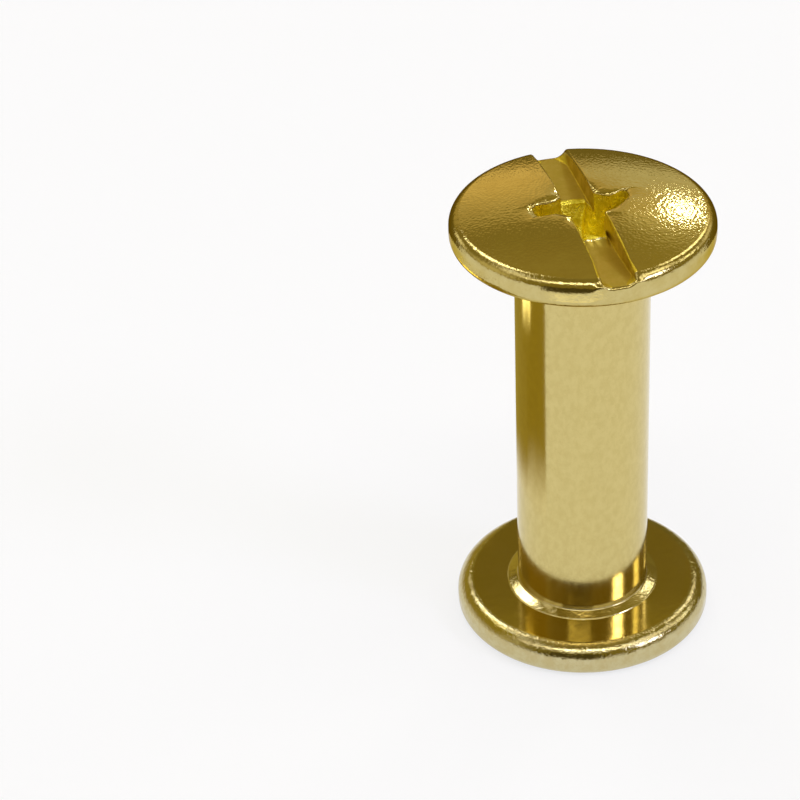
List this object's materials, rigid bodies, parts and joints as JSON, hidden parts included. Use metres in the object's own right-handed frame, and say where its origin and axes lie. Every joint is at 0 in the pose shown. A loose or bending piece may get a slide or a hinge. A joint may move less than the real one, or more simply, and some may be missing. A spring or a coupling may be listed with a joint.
{
  "type": "binding barrel screw",
  "caption": "Closed binding barrel screw: a blind tapped barrel on a flat round head, closed by a low-domed screw with a combined slot and cross recess.",
  "frame": {"origin": "centre of the barrel head's flat outer face, which the closed pair stands on", "axes": "+Z along the barrel's axis, from the barrel's head to the screw's domed head; the screw's slot runs 106 degrees from +X about +Z"},
  "size_m": [0.0094, 0.0094, 0.0177],
  "materials": {
    "brass_plating": "bright brass plating, satin on the screw's dome and polished on the rims and the barrel"
  },
  "bodies": {
    "barrel": {"barrel": "brass_plating"},
    "screw": {"screw": "brass_plating"}
  },
  "joints": [
    {"name": "screw_out", "type": "slide", "parent": "barrel", "child": "screw", "axis": [0, 0, 1], "range_m": [0, 0.0154]}
  ]
}
